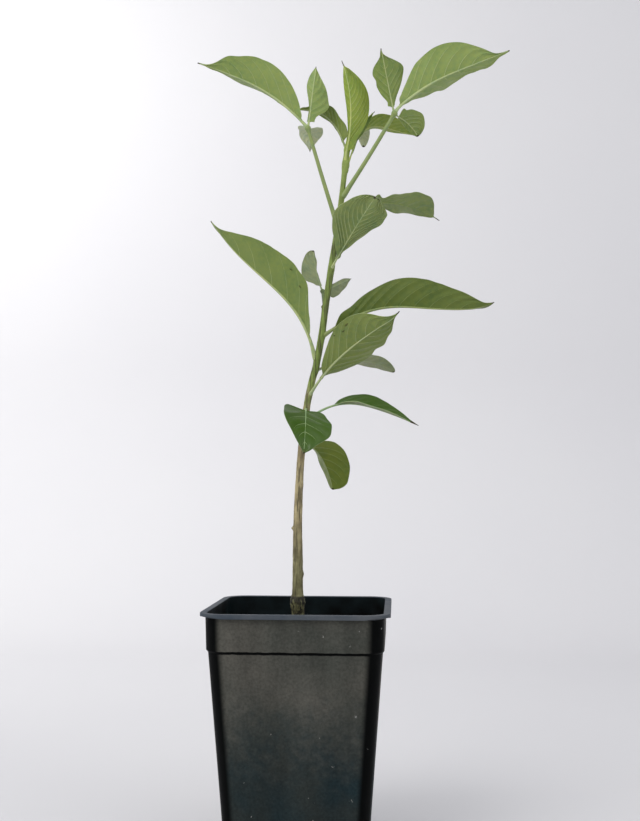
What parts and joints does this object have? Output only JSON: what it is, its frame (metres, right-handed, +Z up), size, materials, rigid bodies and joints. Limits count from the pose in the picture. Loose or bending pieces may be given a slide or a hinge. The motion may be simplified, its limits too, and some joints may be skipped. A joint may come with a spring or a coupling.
{
  "type": "potted baobab seedling",
  "caption": "Young baobab tree with a slender leaning stem and large folded leaves, planted in a tall square nursery pot filled with soil; it stands on the pot's flat base.",
  "frame": {"origin": "middle of the pot's flat underside, on the surface that the pot stands on", "axes": "+Z up out of the pot, +X to the right and +Y away, as the picture shows the plant"},
  "size_m": [0.2643, 0.15, 0.6716],
  "materials": {
    "pot_plastic": "black moulded plastic with a dull sheen and dry dust",
    "potting_soil": "dark crumbly potting mix",
    "bark": "olive-brown young bark below, green above",
    "leaf_stalk": "smooth pale green, a little waxy",
    "leaf": "satin green leaf with pale midrib and side veins, paler and duller below",
    "young_leaf": "brighter yellow-green leaf with marked side veins"
  },
  "bodies": {
    "root": {"pot": "pot_plastic", "soil": "potting_soil", "stem": "bark", "left_leaf_stalk": "leaf_stalk", "right_leaf_stalk": "leaf_stalk", "back_leaf_stalk": "leaf_stalk", "lowest_back_leaf": "leaf", "heart_leaf": "leaf", "low_right_leaf": "leaf", "middle_front_leaf": "leaf", "middle_back_leaf": "leaf", "long_left_leaf": "leaf", "long_right_leaf": "leaf", "back_round_leaf": "leaf", "back_small_leaf": "leaf", "upper_front_leaf": "leaf", "upper_back_leaf": "leaf", "left_long_leaf": "leaf", "left_upright_leaf": "leaf", "left_hanging_leaf": "leaf", "right_long_leaf": "leaf", "right_upright_leaf": "leaf", "right_hanging_leaf": "leaf", "tip_upright_leaf": "young_leaf", "tip_left_leaf": "young_leaf", "tip_right_leaf": "young_leaf", "tip_narrow_leaf": "young_leaf", "tip_hanging_leaf": "young_leaf"}
  },
  "joints": []
}
